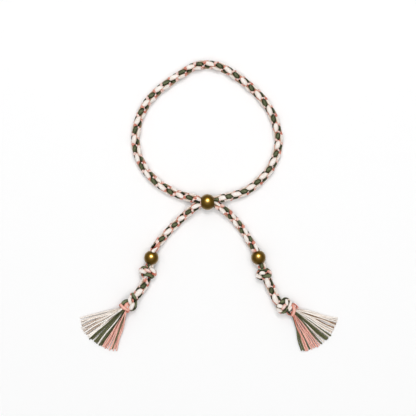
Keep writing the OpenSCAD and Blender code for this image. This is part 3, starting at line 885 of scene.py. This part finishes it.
# Colour and tip of each thread, in the order in which they fan out. The letters are the first
# of cream, tan, green and pink; a tan thread is a cream one in the shade.
TIPS = [
    [("c", -53.3, -46.3), ("c", -53.1, -47.6), ("c", -52.8, -48.5), ("t", -52.5, -49.5),
     ("c", -52.8, -50.7), ("p", -51.4, -50.1), ("t", -52.0, -51.5), ("c", -51.6, -52.3),
     ("t", -50.7, -52.9), ("c", -49.9, -53.3), ("c", -50.1, -53.9), ("c", -49.7, -54.5),
     ("g", -49.5, -54.9), ("g", -48.9, -54.7), ("g", -48.4, -55.1), ("c", -47.4, -55.2),
     ("g", -47.5, -55.9), ("g", -47.1, -56.2), ("g", -46.6, -56.7), ("c", -45.9, -56.9),
     ("g", -45.5, -57.6), ("g", -44.7, -57.7), ("g", -44.4, -57.2), ("p", -44.0, -58.0),
     ("p", -43.5, -58.2), ("p", -43.0, -58.8), ("p", -42.1, -58.9), ("p", -41.2, -59.5),
     ("p", -40.6, -59.2), ("g", -39.9, -59.0), ("p", -39.6, -59.8), ("p", -38.9, -58.9),
     ("p", -38.3, -59.8)],
    [("c", 53.0, -46.3), ("c", 52.9, -47.2), ("c", 52.7, -47.9), ("t", 52.3, -48.7),
     ("c", 52.0, -49.4), ("t", 51.5, -50.2), ("c", 51.5, -50.9), ("c", 50.9, -51.5),
     ("t", 50.6, -52.1), ("c", 50.4, -52.7), ("g", 50.2, -53.6), ("c", 49.5, -53.9),
     ("g", 49.0, -54.6), ("g", 48.7, -55.0), ("g", 48.4, -55.2), ("g", 47.9, -55.1),
     ("c", 47.4, -56.1), ("g", 46.5, -56.9), ("p", 46.1, -56.7), ("p", 45.5, -57.5),
     ("p", 44.9, -58.2), ("p", 44.2, -58.0), ("p", 43.6, -58.4), ("p", 43.0, -58.6),
     ("p", 42.3, -59.2), ("g", 41.5, -59.2), ("p", 40.8, -59.6), ("p", 40.4, -59.8),
     ("p", 39.9, -59.9), ("g", 39.2, -59.8), ("g", 38.7, -59.4), ("g", 38.1, -59.8)]]
COLOUR_OF = {"c": "cream", "t": "cream", "g": "green", "p": "pink"}
# Tone of a tan thread, which is painted shade, and of the others, and how much darker than that
# one may be
SHADED_TONE, TONE, DARKER = -0.45, 0.32, 0.55
# Along the end knot's heading: where the threads start, in the neck, and where they spread, past
# the whipping. How far across the first of them lies there, how wide all lie, and at the start
# the shares of that and of their height.
ROOT_AT, SPREAD_AT = 3.7, 5.5
FIRST_ACROSS, ALL_ACROSS = 1.75, 3.1
ROOT_ACROSS, ROOT_HIGH = 0.55, 0.8
# The threads lie in five layers, from -1 to 1, in a bundle of this half width and half height;
# LEAST_ROUND keeps some height at its edges. The next thread lies LAYER_STEP layers on, counted
# round. A tip lies LAYER_Z higher where its layer is higher by 1.
LAYERS, LAYER_STEP = 5, 7
BUNDLE_WIDE, BUNDLE_HIGH, LEAST_ROUND = 2.0, 1.2, 0.05
LAYER_Z = 0.12
# A thread passes two spots on its way. Of each: the share of the way, its height over the table,
# and what it keeps of the thread's height or layer. A thread bows to a side by up to BOW, and by
# BACK of that to the other, give or take STRAY.
FIRST_SHARE, FIRST_Z, FIRST_KEEPS = 0.36, 0.9, 0.5
NEXT_SHARE, NEXT_Z, NEXT_KEEPS = 0.7, 0.35, 0.25
BOW, BACK, STRAY = 0.35, 0.6, 0.15
chance = np.random.default_rng(7)


def thread_points(tail, k, tip_x, tip_y):
    """Course of the thread with number k of a tassel, from the neck to its tip on the table."""
    place, neck_z = END_PLACE[tail], NECK_Z[tail]
    first_side = 1 if tail == LEFT else -1
    across = first_side * (FIRST_ACROSS - ALL_ACROSS * k / (len(TIPS[tail]) - 1))
    layer = 2 * ((k * LAYER_STEP) % LAYERS) / (LAYERS - 1) - 1
    high = layer * BUNDLE_HIGH * math.sqrt(max(LEAST_ROUND, 1 - (across / BUNDLE_WIDE) ** 2))
    root = np.array(by(place, neck_z + ROOT_HIGH * high, ROOT_AT, ROOT_ACROSS * across))
    spread = np.array(by(place, neck_z + high, SPREAD_AT, across))
    tip = np.array((tip_x, tip_y, YARN_R * (CUT_R + CUT_SWELL) + LAYER_Z * (layer + 1)))
    line = tip - spread
    side_way = np.array((line[1], -line[0], 0)) / np.linalg.norm(line)
    bow = chance.uniform(-BOW, BOW)
    first = spread + FIRST_SHARE * line + bow * side_way
    back = chance.uniform(-STRAY, STRAY) - BACK * bow
    later = spread + NEXT_SHARE * line + back * side_way
    first[2] = YARN_R + FIRST_Z + FIRST_KEEPS * high
    later[2] = YARN_R + NEXT_Z + NEXT_KEEPS * (layer + 1)
    return [root, spread, first, later, tip]


for tail, side in ((LEFT, "left"), (RIGHT, "right")):
    threads = {"cream": [], "green": [], "pink": []}
    for k, (letter, x, y) in enumerate(TIPS[tail]):
        points = thread_points(tail, k, x, y)
        tone = (SHADED_TONE if letter == "t" else TONE) - DARKER * chance.random() ** 2
        threads[COLOUR_OF[letter]].append(yarn(points, tone))
    for colour, found in threads.items():
        shell(f"tassel_{side}_{colour}_threads", found, YARN[colour],
              [f"tassel_{side}"])

# Table and light
# Their sizes and places are in metres.
TABLE_HALF = 1.5
table = bpy.data.meshes.new("table_top")
top = bmesh.new()
bmesh.ops.create_grid(top, x_segments=1, y_segments=1, size=TABLE_HALF)
top.to_mesh(table)
top.free()
paper = bpy.data.materials.new("pale_table")
paper.use_nodes = True
paper_shader = paper.node_tree.nodes["Principled BSDF"]
paper_shader.inputs["Base Color"].default_value = (0.95, 0.95, 0.95, 1)
paper_shader.inputs["Roughness"].default_value = 0.8
paper_shader.inputs["Specular IOR Level"].default_value = 0.2
table.materials.append(paper)
table_top = bpy.data.objects.new("table_top", table)
scene.collection.objects.link(table_top)


def soft_light(name, place, size, watts):
    """A round light that points at the bracelet."""
    data = bpy.data.lights.new(name, "AREA")
    data.shape = "DISK"
    data.size = size
    data.energy = watts
    light = bpy.data.objects.new(name, data)
    light.location = place
    light.rotation_euler = (-Vector(place)).to_track_quat("-Z", "Y").to_euler()
    scene.collection.objects.link(light)
    return light


soft_light("window", (-0.01, 0.42, 0.80), 0.24, 1.4)
soft_light("window_wall", (0.06, 0.50, 0.95), 0.80, 1.2)
# What the beads mirror: the bright pane, the wall round it and the room, but no ceiling
soft_light("window_pane", (-0.01, 0.39, 0.80), 0.20, 15).visible_diffuse = False
soft_light("ceiling", (0.0, -0.10, 1.3), 1.6, 9.7).visible_glossy = False
world = bpy.data.worlds.new("room")
world.use_nodes = True
world.node_tree.nodes["Background"].inputs["Color"].default_value = (1, 1, 1, 1)
world.node_tree.nodes["Background"].inputs["Strength"].default_value = 0.38
scene.world = world
scene.view_settings.view_transform = "Standard"
scene.view_settings.look = "None"
